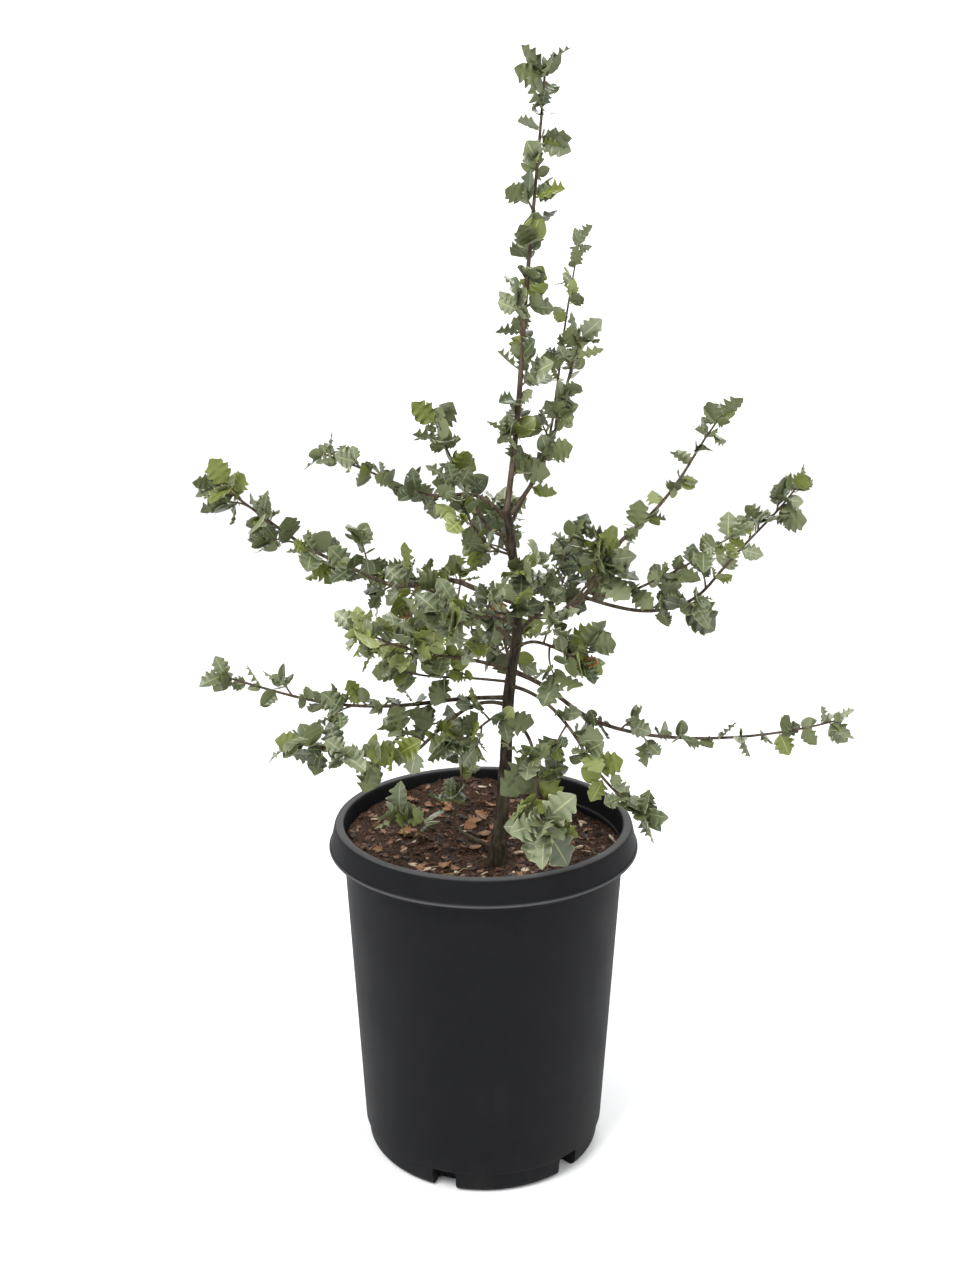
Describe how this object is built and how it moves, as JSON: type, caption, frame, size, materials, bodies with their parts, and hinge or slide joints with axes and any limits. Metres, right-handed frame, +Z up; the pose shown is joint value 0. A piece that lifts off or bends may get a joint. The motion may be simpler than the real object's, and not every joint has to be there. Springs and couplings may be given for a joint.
{
  "type": "potted coast live oak",
  "caption": "Young evergreen oak with a slim trunk, wide open boughs and spiny leaves in a round black nursery pot.",
  "frame": {"origin": "middle of the pot's flat underside, on the ground", "axes": "+Z up along the pot's axis, -Y towards the side that the picture shows"},
  "size_m": [0.5486, 0.3177, 0.9719],
  "materials": {
    "pot_plastic": "matt charcoal black, faintly worn",
    "soil_mix": "dark bark mulch with pale chips and dead leaves",
    "bark": "grey-brown young bark",
    "leaves": "leathery grey-green, paler margins"
  },
  "bodies": {
    "root": {"bough_back_high": "bark", "bough_back_left": "bark", "bough_back_low": "bark", "bough_back_right": "bark", "bough_foot_side": "bark", "bough_foot_twig": "bark", "bough_front_left": "bark", "bough_front_low": "bark", "bough_front_right": "bark", "bough_leader": "bark", "bough_left_drooping": "bark", "bough_left_high": "bark", "bough_left_inner": "bark", "bough_left_level": "bark", "bough_left_light": "bark", "bough_left_long": "bark", "bough_left_low": "bark", "bough_left_upright": "bark", "bough_right_front": "bark", "bough_right_high": "bark", "bough_right_low": "bark", "bough_right_rim": "bark", "bough_right_whorl": "bark", "bough_right_wide": "bark", "bough_second_leader": "bark", "bough_third_leader": "bark", "foliage_back_high": "leaves", "foliage_back_left": "leaves", "foliage_back_low": "leaves", "foliage_back_right": "leaves", "foliage_foot_side": "leaves", "foliage_foot_twig": "leaves", "foliage_front_left": "leaves", "foliage_front_low": "leaves", "foliage_front_right": "leaves", "foliage_leader": "leaves", "foliage_left_drooping": "leaves", "foliage_left_high": "leaves", "foliage_left_inner": "leaves", "foliage_left_level": "leaves", "foliage_left_light": "leaves", "foliage_left_long": "leaves", "foliage_left_low": "leaves", "foliage_left_upright": "leaves", "foliage_right_front": "leaves", "foliage_right_high": "leaves", "foliage_right_low": "leaves", "foliage_right_rim": "leaves", "foliage_right_whorl": "leaves", "foliage_right_wide": "leaves", "foliage_second_leader": "leaves", "foliage_shoot_front": "leaves", "foliage_shoot_left": "leaves", "foliage_shoot_low": "leaves", "foliage_shoot_right": "leaves", "foliage_third_leader": "leaves", "pot": "pot_plastic", "soil": "soil_mix", "trunk": "bark"}
  },
  "joints": []
}
